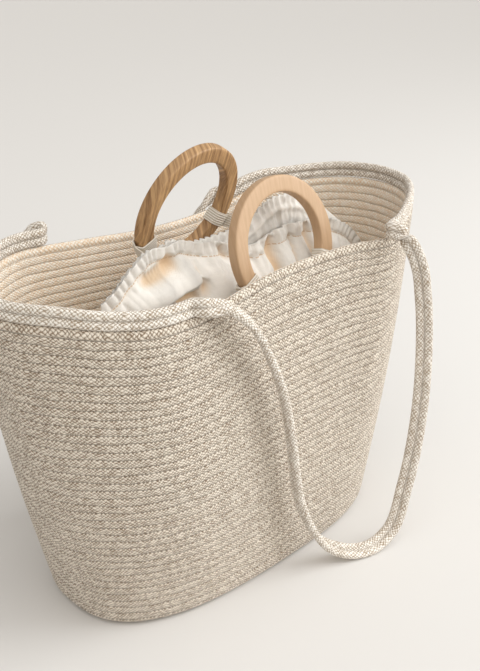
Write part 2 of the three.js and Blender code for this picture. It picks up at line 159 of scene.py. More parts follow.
def maths(tree, operation, first, second=0.0):
    """One step of arithmetic, such as MULTIPLY, on sockets or plain numbers."""
    return add(tree, "ShaderNodeMath", {0: first, 1: second}, operation=operation).outputs[0]


def scaled(tree, value, factor, offset=0.0):
    """A value times a factor, plus an offset."""
    return maths(tree, "ADD", maths(tree, "MULTIPLY", value, factor), offset)


def clamped(tree, value):
    """A value kept between 0 and 1."""
    return add(tree, "ShaderNodeClamp", {"Value": value}).outputs[0]


def noise(tree, place, stretch, scale, detail):
    """Soft noise, mostly between 0 and 1, on a place whose two parts are scaled first."""
    mapped = add(tree, "ShaderNodeMapping", {"Vector": place, "Scale": (*stretch, 1.0)}).outputs[0]
    sockets = {"Vector": mapped, "Scale": scale, "Detail": detail}
    return add(tree, "ShaderNodeTexNoise", sockets).outputs[0]


def uv_parts(tree):
    """A piece's UV map, then its two parts as values of their own."""
    uv = add(tree, "ShaderNodeUVMap", uv_map="UVMap").outputs[0]
    parts = add(tree, "ShaderNodeSeparateXYZ", {0: uv})
    return uv, parts.outputs[0], parts.outputs[1]


def blend(tree, share, first, second):
    """A colour between first, at share 0, and second, at share 1."""
    made = add(tree, "ShaderNodeMix", data_type="RGBA")
    for place, value in ((0, share), (6, first), (7, second)):
        if isinstance(value, bpy.types.NodeSocket):
            tree.links.new(value, made.inputs[place])
        else:
            made.inputs[place].default_value = value
    return made.outputs[2]


def shaded(tree, colour, value):
    """A colour made lighter or darker by a value, which is 1 for no change."""
    sockets = {"Color": colour, "Value": value}
    return add(tree, "ShaderNodeHueSaturation", sockets).outputs[0]


def new_material(name):
    """A material with an empty tree but for its output and one Principled shader."""
    material = bpy.data.materials.new(name)
    material.use_nodes = True
    tree = material.node_tree
    return material, tree, tree.nodes["Principled BSDF"]


def finish_surface(tree, shader, colour, height, depth, strength=1.0):
    """Joins a colour and a relief of some depth in metres to a shader."""
    sockets = {"Height": height, "Distance": depth, "Strength": strength}
    bump = add(tree, "ShaderNodeBump", sockets).outputs[0]
    tree.links.new(colour, shader.inputs["Base Color"])
    tree.links.new(bump, shader.inputs["Normal"])


def finish_cloth(tree, shader, colour, height, depth, roughness=0.95):
    """Joins a colour and a relief to a shader that is set to the look of cloth."""
    finish_surface(tree, shader, colour, height, depth)
    shader.inputs["Roughness"].default_value = roughness
    shader.inputs["Specular IOR Level"].default_value = 0.15
    shader.inputs["Sheen Weight"].default_value = 0.25


# %% [markdown]
# The braid is plaited cotton. Its strands cross in small slanting stitches, one set
# over the other by turns. Two slanted coordinates give the strands, and the sum of
# their whole parts, odd or even, says which strand is on top. Each stitch also gets a
# little brightness of its own, as real yarn does. The low gaps between the strands and
# the groove between two rows are painted darker and tanner, as painted shade.

# %% Braid material
STITCH = 4.0
STITCH_DEPTH = 0.0006
CREAM = (0.865, 0.785, 0.675, 1)
# TAN is the yarn's darker tone, and also the colour of the painted shade in the gaps between strands
TAN = (0.255, 0.178, 0.112, 1)
GROOVE_SHARPNESS = 12.0

# In stitches: how far each row is shifted along at most, and how far a row wanders
ROW_SHIFT = 3.0
ROW_WANDER = 1.5

# Fibres run along the braid, so their noise is finer across it by this much
FIBRE_STRETCH = (1.0, 8.4)

# What counts towards the share of cream, and where the sum starts
# The relief's weight paints shade into the low gaps between the strands
RELIEF_WEIGHT = 1.25
OWN_WEIGHT = 0.65
FIBRE_WEIGHT = 1.4
CREAM_START = -1.15


def stitches(tree, steps, lean, row):
    """The relief of the crossing strands, and a place with one value in each stitch."""
    rising = maths(tree, "ADD", steps, lean)
    falling = maths(tree, "SUBTRACT", steps, lean)
    whole_rising = maths(tree, "FLOOR", rising)
    whole_falling = maths(tree, "FLOOR", falling)
    turn = maths(tree, "MODULO", maths(tree, "ADD", whole_rising, whole_falling), 2.0)
    on_top = maths(tree, "GREATER_THAN", maths(tree, "ABSOLUTE", turn), 0.5)

    def ridge(slanted):
        return maths(tree, "ABSOLUTE", maths(tree, "SINE", scaled(tree, slanted, np.pi)))

    def strand(round_way, long_way):
        return maths(tree, "MULTIPLY", round_way, scaled(tree, long_way, 0.4, 0.6))

    first = strand(ridge(rising), ridge(falling))
    second = strand(ridge(falling), ridge(rising))
    switch = maths(tree, "MULTIPLY", on_top, maths(tree, "SUBTRACT", second, first))
    place = {0: whole_rising, 1: whole_falling, 2: row}
    stitch = add(tree, "ShaderNodeCombineXYZ", place).outputs[0]
    return maths(tree, "ADD", first, switch), stitch


def braid_material(name, crossings, groove, cream=CREAM, tan=TAN):
    """Plaited cotton on a UV map of millimetres along and braid rows across.

    crossings is the number of stitches across one row, and groove how dark the painted
    shade on the line between two rows is.
    """
    material, tree, shader = new_material(name)
    uv, along, across = uv_parts(tree)
    row = maths(tree, "FLOOR", across)
    within = maths(tree, "FRACT", across)
    shift = add(tree, "ShaderNodeTexWhiteNoise", {"W": row}, noise_dimensions="1D").outputs[0]
    steps = maths(tree, "DIVIDE", along, STITCH)
    steps = maths(tree, "ADD", steps, scaled(tree, shift, ROW_SHIFT))
    steps = maths(tree, "ADD", steps, scaled(tree, noise(tree, uv, (1.0, 1.0), 0.1, 1.0), ROW_WANDER))
    relief, stitch = stitches(tree, steps, scaled(tree, within, float(crossings)), row)
    own = add(tree, "ShaderNodeTexWhiteNoise", {"Vector": stitch}).outputs[0]
    fibres = noise(tree, uv, FIBRE_STRETCH, 0.8, 2.0)
    # The cream share falls in the low gaps, which is painted shade, and with the stitch's own noise
    # and the fibres, which are the yarn's real tone
    share = CREAM_START
    for value, weight in ((relief, RELIEF_WEIGHT), (own, OWN_WEIGHT), (fibres, FIBRE_WEIGHT)):
        share = maths(tree, "ADD", scaled(tree, value, weight), share)
    # The groove between two rows is painted darker: painted shade
    edge = maths(tree, "ABSOLUTE", scaled(tree, within, 2.0, -1.0))
    edge = scaled(tree, maths(tree, "POWER", edge, GROOVE_SHARPNESS), groove)
    patches = noise(tree, uv, FIBRE_STRETCH, 0.03, 2.0)
    value = maths(tree, "SUBTRACT", scaled(tree, patches, 0.14, 0.93), edge)
    colour = shaded(tree, blend(tree, clamped(tree, share), tan, cream), value)
    finish_cloth(tree, shader, colour, relief, STITCH_DEPTH)
    return material


wall_braid = braid_material("braid_rows", 2.8, 0.5)
# The inside is the same braid with lighter, warmer colours and a fainter groove: painted warm bounce
# light inside the basket
inside_braid_painted_light = braid_material(
    "braid_inside_painted_light", 2.8, 0.3, cream=(1.0, 0.94, 0.84, 1), tan=(0.86, 0.64, 0.43, 1)
)
# The band is the same braid with lighter colours: painted light on the rim and straps
band_braid_painted_light = braid_material(
    "braid_band_painted_light", 7, 0.0, cream=(0.965, 0.915, 0.84, 1), tan=(0.40, 0.305, 0.21, 1)
)
print("braid stitch", STITCH, "mm long")

# %% [markdown]
# The basket's wall is lofted: a squared oval at the base, and at the mouth an outline
# measured all round, a row every 15 degrees of turn. In between it is straight, with a
# slight bulge. A bag like this is sewn by laying the braid round and round, so the
# surface is divided by rows of braid, and each row stands proud of the groove beside it.

# %% The basket's measured shape
BASE_HALF_LENGTH = 187
BASE_HALF_WIDTH = 95
BASE_SQUARENESS = 2.7
MOUTH_HALF_LENGTH = 249
MOUTH_HALF_WIDTH = 108
RIM_HEIGHT = 345
WALL_BULGE = 5
WALL_THICKNESS = 6
BAND_WIDTH = 16.5
BAND_THICKNESS = 7
BAND_SEAT = 0.5

# along, across and height, as shares of the mouth's half sizes and the rim's height
RIM_ROWS = [
    (1.0, 0.0, 1.0),
    (0.968, 0.333, 0.997),
    (0.892, 0.556, 0.993),
    (0.763, 0.741, 0.988),
    (0.59, 0.889, 0.983),
    (0.361, 0.991, 0.939),
    (0.04, 0.991, 0.935),
    (-0.301, 0.981, 0.961),
    (-0.582, 0.981, 0.979),
    (-0.771, 0.778, 0.983),
    (-0.904, 0.509, 0.988),
    (-0.976, 0.259, 0.991),
    (-0.996, -0.019, 0.988),
    (-0.956, -0.278, 0.98),
    (-0.859, -0.528, 0.971),
    (-0.735, -0.731, 0.953),
    (-0.574, -0.889, 0.943),
    (-0.369, -0.889, 0.943),
    (-0.02, -0.806, 0.963),
    (0.337, -0.834, 0.967),
    (0.574, -0.926, 0.962),
    (0.755, -0.778, 0.983),
    (0.888, -0.574, 0.994),
    (0.968, -0.333, 0.999),
]
STRAP_TURNS = {"front": (250, 300), "back": (70, 115)}
RIM = np.array(RIM_ROWS) * (MOUTH_HALF_LENGTH, MOUTH_HALF_WIDTH, RIM_HEIGHT)

# A few rows are repeated before the first and after the last, to close the curve
RIM_INDEX = np.arange(-3, len(RIM) + 4)
RIM_TURNS = RIM_INDEX * 15


def rim_point(turn):
    """The rim's outer line: a smooth closed curve through the measured rows."""
    return spline(RIM_TURNS, RIM[RIM_INDEX % len(RIM)], np.mod(turn, 360))


def wall_point(turn, level):
    """The wall's outer face: a straight line from the base's squared oval, at level 0,
    to the wall's top edge, at level 1, pushed out by half a wave on the way."""
    turn, level = np.broadcast_arrays(turn, level)
    cosine = np.cos(np.radians(turn))
    sine = np.sin(np.radians(turn))
    base = np.stack(
        [
            BASE_HALF_LENGTH * signed_power(cosine, 2 / BASE_SQUARENESS),
            BASE_HALF_WIDTH * signed_power(sine, 2 / BASE_SQUARENESS),
            0 * cosine,
        ],
        axis=-1,
    )
    mouth = rim_point(turn)
    mouth[..., 2] -= BAND_WIDTH + BAND_SEAT
    bulge = np.stack([cosine, sine, 0 * sine], axis=-1) * WALL_BULGE
    level = level[..., None]
    return base + (mouth - base) * level + bulge * np.sin(np.pi * level)


def wall_outward(turn, level):
    """The level direction straight out of the wall."""
    along = wall_point(turn + 0.5, level) - wall_point(turn - 0.5, level)
    across = np.stack([along[..., 1], -along[..., 0], 0 * along[..., 2]], axis=-1)
    return unit(across)


print("mouth", 2 * MOUTH_HALF_LENGTH, "by", 2 * MOUTH_HALF_WIDTH, "mm")

# %% [markdown]
# The rows of the wall. A plaited braid is nearly flat with rounded edges, so a row's
# profile is a flat-topped hump. The rows are not perfectly even on a hand-sewn bag, so
# each groove wanders by a fraction of a millimetre. The base is sewn the same way, in
# rows round a middle line, and the lowest row of the wall tucks in to meet it.

# %% Basket, outside
WALL_ROWS = 39
BASE_ROWS = 11
ROW_RELIEF = 1.3
BASE_RELIEF = 0.8
WALL_COLUMNS = 320
WITHIN_ROW = np.array([0, 0.07, 0.22, 0.5, 0.78, 0.93])
EDGE_HALF_HEIGHT = 4.1
EDGE_OVERHANG = 0.4
BASE_TUCK = 6.5
UNDERSIDE_HEIGHT = 0.4
UNDERSIDE_REACH = 7.3

# The level at which the length of a row is measured
MEASURED_LEVEL = 0.6

# Rows under the bag, inside it and on its floor are counted from these numbers on, so
# that no two rows in one material share a number and with it a shift of their stitches
UNDERSIDE_COUNT = 100
INSIDE_COUNT = 200
FLOOR_COUNT = 300

# Columns stand at even distances, and a whole number of stitches goes round the wall
fine = np.linspace(0, 360, 1441)
strides = np.linalg.norm(np.diff(wall_point(fine, MEASURED_LEVEL), axis=0), axis=-1)
lengths = np.concatenate([[0], np.cumsum(strides)])
around = np.interp(np.linspace(0, lengths[-1], WALL_COLUMNS + 1), lengths, fine)
turns = around[:-1]
run = np.linspace(0, round(lengths[-1] / STITCH) * STITCH, WALL_COLUMNS + 1)


def row_profile(within):
    """A braid's flat-topped hump: 0 at its two edges and 1 in the middle."""
    return (1 - np.abs(2 * within - 1) ** 3.5) ** 0.6


def wander(row, turn):
    """How far a groove strays from its level line, in rows."""
    place = np.radians(turn)
    return 0.05 * np.sin(13 * place + 1.7 * row) + 0.035 * np.sin(29 * place + 2.9 * row)


def wall_rows(side, within_row):
    """Wall points from the base up to the last groove, on the outer or inner face."""
    row = np.arange(WALL_ROWS - 1)[:, None]
    count = (row + within_row).ravel()
    place = count[:, None]
    whole = np.floor(place)
    within = place - whole
    stray = wander(whole, turns) * (1 - within) + wander(whole + 1, turns) * within
    level = (place + stray * np.minimum(place, 1)) / WALL_ROWS
    relief = ROW_RELIEF * (row_profile(within) - 0.6)
    tuck = BASE_TUCK * np.clip(1 - place, 0, 1) ** 2
    out = np.where(side > 0, relief - tuck, -WALL_THICKNESS - relief)
    return wall_point(turns, level) + wall_outward(turns, level) * out[..., None], count


def top_edge(angles):
    """The wall's top row, which shows its rounded top: half an oval over the wall."""
    level = (WALL_ROWS - 0.5) / WALL_ROWS
    outward = wall_outward(turns, level)
    middle = wall_point(turns, level) - outward * WALL_THICKNESS / 2
    angle = np.radians(angles)[:, None, None]
    out = outward * (WALL_THICKNESS / 2 + EDGE_OVERHANG)
    up = np.array([0, 0, EDGE_HALF_HEIGHT])
    return middle + out * signed_power(np.cos(angle), 0.7) + up * signed_power(np.sin(angle), 0.8)


def top_edge_count(angles):
    """The top row's count, from just over its lower groove, at -90 degrees, up."""
    return WALL_ROWS - 0.5 + 0.49 * angles / 90


def base_rows(height, reach, face):
    """Rows of braid round the base's middle line, on its underside or its top."""
    count = (np.arange(BASE_ROWS)[:, None] + WITHIN_ROW[::2]).ravel()
    edge = wall_point(turns, height / RIM_HEIGHT) - wall_outward(turns, 0.0) * reach
    middle = edge * (0.5, 0, 1)
    share = (count / BASE_ROWS)[:, None, None]
    points = middle + (edge - middle) * share
    hump = row_profile(count - np.floor(count))[:, None]
    points[..., 2] = height + face * BASE_RELIEF * (hump - 0.5)
    return points, count


under, under_count = base_rows(UNDERSIDE_HEIGHT, UNDERSIDE_REACH, -1)
outer, outer_count = wall_rows(1, WITHIN_ROW)
crown_angles = np.array([-70, -35, 0, 35, 65, 90])
outside = np.concatenate([under, outer, top_edge(crown_angles)])
outside_rows = np.concatenate(
    [under_count + UNDERSIDE_COUNT, outer_count, top_edge_count(crown_angles)]
)
basket_outside = grid_piece(
    "basket_outside", outside, uv_grid(run, outside_rows[:, None]), wall_braid, (False, True)
)
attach(basket_outside, "root")
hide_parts("basket")

# %% [markdown]
# The inside of the wall is the other face of the same rows, so it is made with the same
# function, six millimetres further in. It shows above the pouch and at the two ends.
# Its lowest row would lie below the bag's floor, so it is left off.

# %% Basket, inside
FLOOR_HEIGHT = 6.4

inner, inner_count = wall_rows(-1, WITHIN_ROW)
above_floor = inner_count > 1
over_angles = np.array([90, 115, 145, 180, 215, 250])
floor_top, floor_count = base_rows(FLOOR_HEIGHT, WALL_THICKNESS, 1)
inside = np.concatenate([top_edge(over_angles), inner[above_floor][::-1], floor_top[::-1]])
inside_rows = np.concatenate(
    [
        top_edge_count(180 - over_angles) + INSIDE_COUNT,
        inner_count[above_floor][::-1] + INSIDE_COUNT,
        floor_count[::-1] + FLOOR_COUNT,
    ]
)
basket_inside = grid_piece(
    "basket_inside", inside, uv_grid(run, inside_rows[:, None]), inside_braid_painted_light, (False, True)
)
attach(basket_inside, "root")

# %% [markdown]
# Two rows of braid run as one flat band round each end of the rim. At four places the
# band leaves the rim and hangs down the outside as a shoulder strap. On the real bag it
# is one closed loop, so its path here is one closed curve too, cut into four pieces
# where the strap leaves the rim.

# %% The band's path
STRAP_REACH = 63

# The distance between two points of the band on the rim, in degrees of turn
RIM_STEP = 2.5

# How often the turn is halved, which finds a place to far below a thousandth of a degree
HALVINGS = 24

# between, drop, out, heading, rise: the way along from one end to the other, the drop
# as a share of the rim's height, the share of the reach out from the wall, and where
# the band's width points
STRAP_ROWS = np.array([
    (0.031, 0.001, 0.066, 60, 84),
    (0.064, 0.008, 0.113, 60, 52),
    (0.105, 0.013, 0.167, 60, 14),
    (0.135, 0.029, 0.218, 60, 6),
    (0.172, 0.056, 0.259, 60, 4),
    (0.204, 0.084, 0.289, 60, 3),
    (0.233, 0.117, 0.308, 60, 2),
    (0.267, 0.165, 0.307, 61, 0),
    (0.353, 0.316, 0.290, 64, 0),
    (0.393, 0.438, 0.271, 66, 0),
    (0.424, 0.575, 0.260, 70, 0),
    (0.455, 0.683, 0.261, 75, 4),
    (0.491, 0.762, 0.315, 80, 14),
    (0.577, 0.868, 0.458, 86, 30),
    (0.664, 0.906, 0.685, 92, 36),
    (0.754, 0.915, 0.846, 100, 32),
    (0.853, 0.892, 0.942, 110, 18),
    (0.935, 0.760, 0.935, 120, 5),
    (0.998, 0.576, 0.870, 126, 0),
    (1.018, 0.355, 0.749, 128, 0),
    (1.014, 0.176, 0.607, 126, 0),
    (1.006, 0.095, 0.514, 122, 4),
    (0.996, 0.051, 0.412, 118, 14),
    (0.984, 0.019, 0.301, 114, 34),
    (0.967, -0.003, 0.195, 112, 60),
    (0.953, -0.008, 0.107, 110, 80),
    (0.963, 0.000, 0.022, 110, 88),
])

# The back strap has the same form, but its first rows are lower and nearer to the wall,
# so that from the camera it drops behind the rim sooner
BACK_ROWS = STRAP_ROWS.copy()
BACK_ROWS[:9, 1] = (0.004, 0.022, 0.055, 0.09, 0.135, 0.175, 0.215, 0.262, 0.365)
BACK_ROWS[:9, 2] = (0.06, 0.10, 0.14, 0.175, 0.205, 0.23, 0.25, 0.265, 0.28)


def band_centre(turn):
    """The middle of the band where it stands on the wall's top edge."""
    turn = np.asarray(turn, float)
    centre = wall_point(turn, 1.0) - wall_outward(turn, 1.0) * WALL_THICKNESS / 2
    centre[..., 2] = rim_point(turn)[..., 2] - BAND_WIDTH / 2
    return centre


def wall_across(along, height, side):
    """The wall's outer face at places along the bag, found by halving the turn."""
    low = np.zeros_like(along)
    high = np.full_like(along, 180.0)
    for _ in range(HALVINGS):
        turn = (low + high) / 2
        top = wall_point(side * turn, 1.0)[:, 2]
        point = wall_point(side * turn, np.clip(height / top, 0, 1))
        further = point[:, 0] > along
        low = np.where(further, turn, low)
        high = np.where(further, high, turn)
    return point[:, 1]


def strap_path(side, ends):
    """A strap's points and the directions of its width, from the table."""
    start, stop = band_centre(ends)
    between, drop, out, heading, rise = (STRAP_ROWS if side < 0 else BACK_ROWS).T
    along = start[0] + (stop[0] - start[0]) * between
    level = start[2] + (stop[2] - start[2]) * np.clip(between, 0, 1)
    height = level - drop * RIM_HEIGHT
    across = wall_across(along, height, side) + side * out * STRAP_REACH
    heading = np.radians(heading)
    rise = np.radians(rise)
    way = np.sign(stop[0] - start[0])
    flat = np.cos(rise)
    widths = [way * flat * np.cos(heading), -side * flat * np.sin(heading), np.sin(rise)]
    return np.stack([along, across, height], axis=-1), np.stack(widths, axis=-1)


def rim_path(start, stop):
    """The band's points on the rim, with its width upright."""
    turn = np.linspace(start, stop, round((stop - start) / RIM_STEP) + 1)
    return band_centre(turn), np.tile((0.0, 0.0, 1.0), (len(turn), 1))


BACK_START, BACK_STOP = STRAP_TURNS["back"]
FRONT_START, FRONT_STOP = STRAP_TURNS["front"]
stretches = {
    "rim_band_left": rim_path(BACK_STOP, FRONT_START),
    "strap_front": strap_path(-1, STRAP_TURNS["front"]),
    "rim_band_right": rim_path(FRONT_STOP, BACK_START + 360),
    "strap_back": strap_path(1, STRAP_TURNS["back"]),
}
loop = np.concatenate([points for points, _ in stretches.values()])
loop_widths = np.concatenate([widths for _, widths in stretches.values()])
print("band path through", len(loop), "points")

# %% [markdown]
# A band is made by carrying its section along the path. The section is two rounded
# braids side by side, with a groove between them. The path is closed, so a few of its
# points are repeated before its start and after its end.

# %% Straps and rim bands
BAND_STEP = 1.8
LOBE_POINTS = 11
LOBE_END = 166
LOBE_ROUNDNESS = 0.85

# Points repeated at each end of a closed path
OVERLAP = 3


def closed_curve(points, widths, spacing):
    """A smooth closed curve through points: its places, directions, widths and run,
    and the run at each of the points."""
    index = np.arange(-OVERLAP, len(points) + OVERLAP + 1) % len(points)
    chord = np.linalg.norm(np.diff(points[index], axis=0), axis=-1)
    knots = np.concatenate([[0], np.cumsum(chord)])
    marks = knots[OVERLAP:OVERLAP + len(points)]
    first = marks[0]
    last = knots[OVERLAP + len(points)]
    at = np.linspace(first, last, round((last - first) / spacing), endpoint=False)
    places = spline(knots, points[index], at)
    ways = unit(spline(knots, points[index], at + 0.4) - spline(knots, points[index], at - 0.4))
    across = spline(knots, widths[index], at)
    across = unit(across - ways * np.sum(across * ways, axis=-1, keepdims=True))
    return places, ways, across, at, marks


def swept(places, ways, widths, section):
    """Carries a section, of width and thickness pairs, along places."""
    outs = np.cross(ways, widths)
    return (
        places[:, None]
        + widths[:, None] * section[None, :, :1]
        + outs[:, None] * section[None, :, 1:]
    )


places, ways, across, at, marks = closed_curve(loop, loop_widths, BAND_STEP)
lobe = np.radians(np.linspace(-LOBE_END, LOBE_END, LOBE_POINTS))
lobe_width = BAND_WIDTH / 4 * (1 + signed_power(np.cos(lobe), LOBE_ROUNDNESS))
lobe_thickness = BAND_THICKNESS / 2 * signed_power(np.sin(lobe), LOBE_ROUNDNESS)
right_lobe = np.stack([lobe_width, lobe_thickness], axis=-1)
section = np.concatenate([right_lobe, -right_lobe])
lobe_row = np.linspace(0.02, 0.98, LOBE_POINTS)
section_rows = np.concatenate([lobe_row, lobe_row + 1, [2.02]])

# A band on the rim ends at its own last points, and a strap runs on to meet them
first_point = 0
for name, (points, _) in stretches.items():
    last_point = first_point + len(points)
    is_rim = name.startswith("rim")
    start = marks[first_point] if is_rim else marks[first_point - 1]
    end_mark = last_point - 1 if is_rim else last_point
    stop = marks[end_mark] if end_mark < len(marks) else at[-1] + BAND_STEP
    first = np.searchsorted(at, start)
    last = np.searchsorted(at, stop)
    chosen = np.arange(first, last + 1) % len(at)
    body = swept(places[chosen], ways[chosen], across[chosen], section)
    length = BAND_STEP * np.arange(len(chosen))
    piece = grid_piece(
        name + "_braid", body, uv_grid(length[:, None], section_rows), band_braid_painted_light, (False, True)
    )
    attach(piece, "root")
    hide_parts(name)
    print(name, "is", round(length[-1]), "mm long")
    first_point = last_point

# %% [markdown]
# The rings are turned from a board, so the grain runs straight across them, not round
# them. Their UV map is laid flat on the ring for that reason. The section is a flat
# face with well rounded edges, which a squared oval gives in one formula.

# %% Wood material
GRAIN_STRETCH = (0.32, 0.022)
PORE_STRETCH = (1.7, 0.12)
PORE_DEPTH = 0.00015


def wood_material(name, light, dark, contrast):
    """Straight-grained wood on a UV map in millimetres, with the grain along V."""
    material, tree, shader = new_material(name)
    uv = uv_parts(tree)[0]
    bands = noise(tree, uv, GRAIN_STRETCH, 1.0, 5.0)
    pores = noise(tree, uv, PORE_STRETCH, 1.0, 3.0)
    share = maths(tree, "ADD", scaled(tree, bands, 0.65), scaled(tree, pores, 0.35))
    share = clamped(tree, scaled(tree, maths(tree, "SUBTRACT", share, 0.5), contrast, 0.5))
    finish_surface(tree, shader, blend(tree, share, dark, light), pores, PORE_DEPTH, 0.6)
    tree.links.new(scaled(tree, pores, 0.2, 0.42), shader.inputs["Roughness"])
    return material


# The back ring is a darker, browner copy of the same wood with a stronger grain; its darkness is
# partly painted shade
ring_woods = {
    "front": wood_material("beech_light", (0.62, 0.425, 0.265, 1), (0.50, 0.32, 0.18, 1), 2.4),
    "back": wood_material("beech_back_darker_shaded", (0.62, 0.385, 0.185, 1), (0.23, 0.115, 0.045, 1), 4.2),
}
print("woods:", ", ".join(ring_woods))

# %% [markdown]
# Each ring stands in its own tilted plane. One function turns an angle, a radius and a
# height off that plane into a place, and both the rings and the tabs use it.

# %% Rings
POUCH_CENTRE_X = 31.5
POUCH_HALF_LENGTH = 168.5
POUCH_HALF_WIDTH = 72
POUCH_HEIGHT = 334
RING_RADIUS = 65
RING_HOLE_RADIUS = 49
RING_THICKNESS = 12
RING_SQUARENESS = 7.0
RING_MIDDLE = (RING_RADIUS + RING_HOLE_RADIUS) / 2
RING_HALF_FACE = (RING_RADIUS - RING_HOLE_RADIUS) / 2
RING_POINTS = 180
RING_SECTION_POINTS = 48

# How far the grain's pattern moves along for each millimetre into the ring
GRAIN_LEAN = 0.6

# along, across and height of the centre as shares of the pouch, then turn and lean
RING_ROWS = {
    "front": (0.116, -0.546, 0.942, 1, 15.6),
    "back": (-0.174, 0.546, 1.031, 7, -19.2),
}


def ring_axes(row):
    """A ring's centre, its level direction, its upright one and the way it faces."""
    along, across, height, turn, lean = row
    turn = np.radians(turn)
    lean = np.radians(lean)
    across = across * POUCH_HALF_WIDTH
    centre = np.array([POUCH_CENTRE_X + along * POUCH_HALF_LENGTH, across, height * POUCH_HEIGHT])
    level = np.array([np.cos(turn), np.sin(turn), 0])
    front = np.array([np.sin(turn), -np.cos(turn), 0])
    upright = np.array([0, 0, np.cos(lean)]) - front * np.sin(lean)
    return centre, level, upright, np.cross(level, upright)


def ring_place(row, angle, radius, height):
    """A place from an angle round the ring, a radius and a height off its plane."""
    centre, level, upright, facing = ring_axes(row)
    parts = np.broadcast_arrays(np.radians(angle), radius, height)
    angle, radius, height = (part[..., None] for part in parts)
    flat = level * np.cos(angle) + upright * np.sin(angle)
    return centre + flat * radius + facing * height


def ring_section(angle, grown):
    """A squared oval round the section's middle, as a radius and a height."""
    power = 2 / RING_SQUARENESS
    radius = RING_MIDDLE + (RING_HALF_FACE + grown) * signed_power(np.cos(angle), power)
    height = (RING_THICKNESS / 2 + grown) * signed_power(np.sin(angle), power)
    return radius, height


# The section's points stand half a step off its two middle lines
half_step = 180 / RING_SECTION_POINTS
for name, row in RING_ROWS.items():
    angle = np.linspace(0, 360, RING_POINTS + 1)[:, None]
    around_section = np.radians(np.linspace(0, 360, RING_SECTION_POINTS + 1) + half_step)
    radius, height = ring_section(around_section, 0)
    flat_u = radius * np.cos(np.radians(angle)) + GRAIN_LEAN * height
    flat_v = radius * np.sin(np.radians(angle))
    points = ring_place(row, angle[:-1], radius[:-1], height[:-1])
    ring = grid_piece(
        "ring_" + name + "_wood", points, uv_grid(flat_u, flat_v), ring_woods[name], (True, True)
    )
    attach(ring, "root")
    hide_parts("ring_" + name)

# %% [markdown]
# The pouch is thin canvas. Its mouth is gathered on a line of stitches, which leaves a
# small ruffled frill above the line and pulls the cloth below it into folds. The shape
# has two layers: sections read from a table give its body, and waves and single folds
# are then added outwards. The cloth in a hollow looks warmer, because light bounces
# between its two sides, so the depth of each hollow is kept for the material.

# %% Canvas material
FRILL_DEPTH = 13
CANVAS = (0.86, 0.825, 0.77, 1)
CANVAS_HOLLOW_SHADE = (0.76, 0.56, 0.36, 1)
THREAD = (0.62, 0.44, 0.27, 1)
THREAD_STRENGTH = 0.75

# In millimetres: a seam stitch with its gap, half the seam's width, two threads of the
# weave, and, in metres, how deep the weave is
SEAM_STITCH = 3.4
SEAM_HALF_WIDTH = 0.5
WEAVE = 1.1
WEAVE_DEPTH = 0.00012

# The part of a seam stitch that shows
SEAM_SHARE = 0.72


def canvas_material():
    """Thin woven cotton with a stitched line, on a UV map in millimetres."""
    material, tree, shader = new_material("canvas")
    uv, along, below = uv_parts(tree)
    # The hollow attribute paints the cloth in deep folds warmer and darker: painted bounce light and
    # shade
    hollow = add(tree, "ShaderNodeAttribute", attribute_name="hollow").outputs["Fac"]
    slub = noise(tree, uv, (1.0, 1.0), 0.35, 4.0)
    colour = blend(tree, hollow, CANVAS, CANVAS_HOLLOW_SHADE)
    colour = shaded(tree, colour, scaled(tree, slub, 0.12, 0.94))
    from_line = maths(tree, "ABSOLUTE", maths(tree, "SUBTRACT", below, float(FRILL_DEPTH)))
    on_line = maths(tree, "LESS_THAN", from_line, SEAM_HALF_WIDTH)
    within_stitch = maths(tree, "FRACT", maths(tree, "DIVIDE", along, SEAM_STITCH))
    dash = maths(tree, "LESS_THAN", within_stitch, SEAM_SHARE)
    thread = scaled(tree, maths(tree, "MULTIPLY", on_line, dash), THREAD_STRENGTH)
    warp, weft = (
        maths(tree, "SINE", scaled(tree, way, 2 * np.pi / WEAVE)) for way in (along, below)
    )
    height = maths(tree, "ADD", maths(tree, "MULTIPLY", warp, weft), slub)
    finish_cloth(tree, shader, blend(tree, thread, colour, THREAD), height, WEAVE_DEPTH, 0.9)
    return material


canvas = canvas_material()

# %% [markdown]
# The pouch's shape in three tables. The first holds level sections, from the floor to the
# edge. The second is the frilled edge itself, which dips and rises along the bag, and
# the third holds the folds that can be told apart in the photograph.

# %% The pouch's measured shape

# height, left, right, front, back, round, follow: the reach to each side as a share of
# the half size, how squared the section is, and how far it follows the frilled edge
POUCH_ROWS = np.array([
    (0.0, 0.86, 0.7, 0.72, 0.78, 2.6, 0.0),
    (0.03, 0.92, 0.8, 0.8, 0.86, 2.5, 0.0),
    (0.22, 0.97, 0.9, 0.92, 0.98, 2.3, 0.0),
    (0.45, 1.0, 0.95, 0.98, 1.0, 2.2, 0.05),
    (0.6, 1.02, 0.98, 0.86, 0.94, 2.1, 0.15),
    (0.72, 1.02, 1.0, 0.6, 0.8, 2.0, 0.35),
    (0.83, 1.02, 1.0, 0.5, 0.36, 2.0, 0.7),
    (0.91, 1.01, 1.0, 0.28, -0.07, 2.0, 0.9),
    (0.955, 1.0, 1.0, 0.09, -0.03, 2.0, 1.0),
    (1.0, 1.0, 1.0, 0.04, 0.03, 2.0, 1.0),
])

